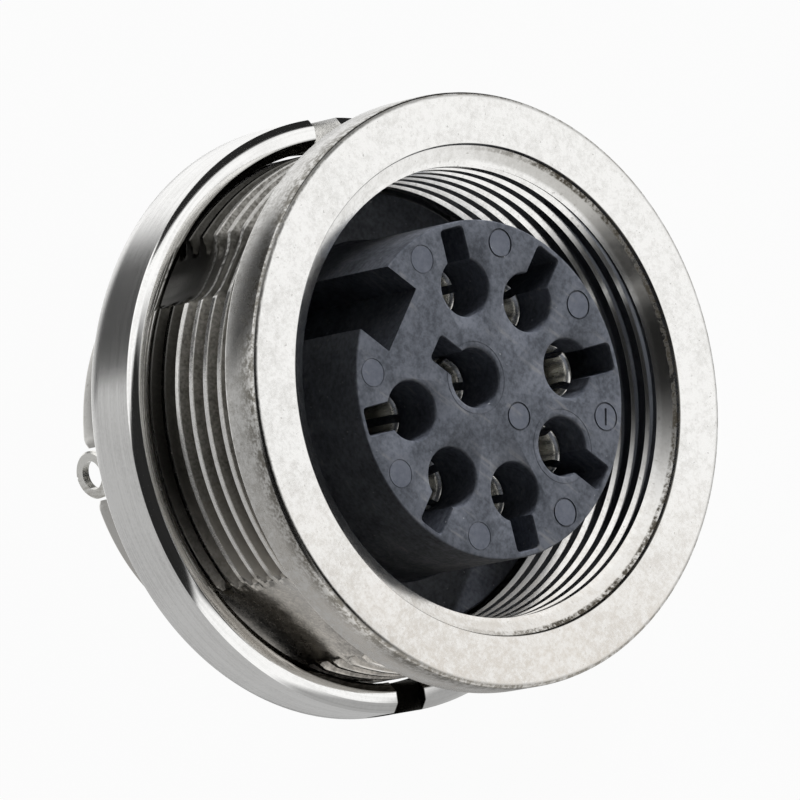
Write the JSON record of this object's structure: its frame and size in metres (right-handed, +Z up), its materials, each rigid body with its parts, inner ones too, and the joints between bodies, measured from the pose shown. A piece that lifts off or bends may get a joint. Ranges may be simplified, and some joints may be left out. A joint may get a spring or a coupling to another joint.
{
  "type": "circular panel connector",
  "caption": "Round panel socket with a flanged metal shell, threaded inside for a plug's collar and outside for its ring nut, and a keyed plastic carrier of spring contacts with solder tags.",
  "frame": {"origin": "on the connector's axis, in the plane where the flange's rear face meets the panel", "axes": "+Y along the axis from the front to the solder tags, so the mating side faces -Y; +Z up through the key slot; +X to the right seen from the front"},
  "size_m": [0.0202, 0.0181, 0.0202],
  "materials": {
    "shell_nickel": "satin nickel plating over turned metal, fine grain on the flange",
    "nut_nickel": "nickel plating, lathe-brushed round the rim",
    "carrier_plastic": "moulded thermoplastic, satin face",
    "rear_plastic": "moulded thermoplastic",
    "contact_silver": "silver plating over copper alloy"
  },
  "bodies": {
    "receptacle": {"shell": "shell_nickel", "contact_carrier": "carrier_plastic", "rear_insulator": "rear_plastic", "contact_1": "contact_silver", "contact_2": "contact_silver", "contact_3": "contact_silver", "contact_4": "contact_silver", "contact_5": "contact_silver", "contact_6": "contact_silver", "contact_7": "contact_silver", "contact_8": "contact_silver"},
    "nut": {"ring_nut": "nut_nickel"}
  },
  "joints": [
    {"name": "nut_travel", "type": "slide", "parent": "receptacle", "child": "nut", "axis": [0, 1, 0], "range_m": [-0.0045, 0.0125]}
  ]
}
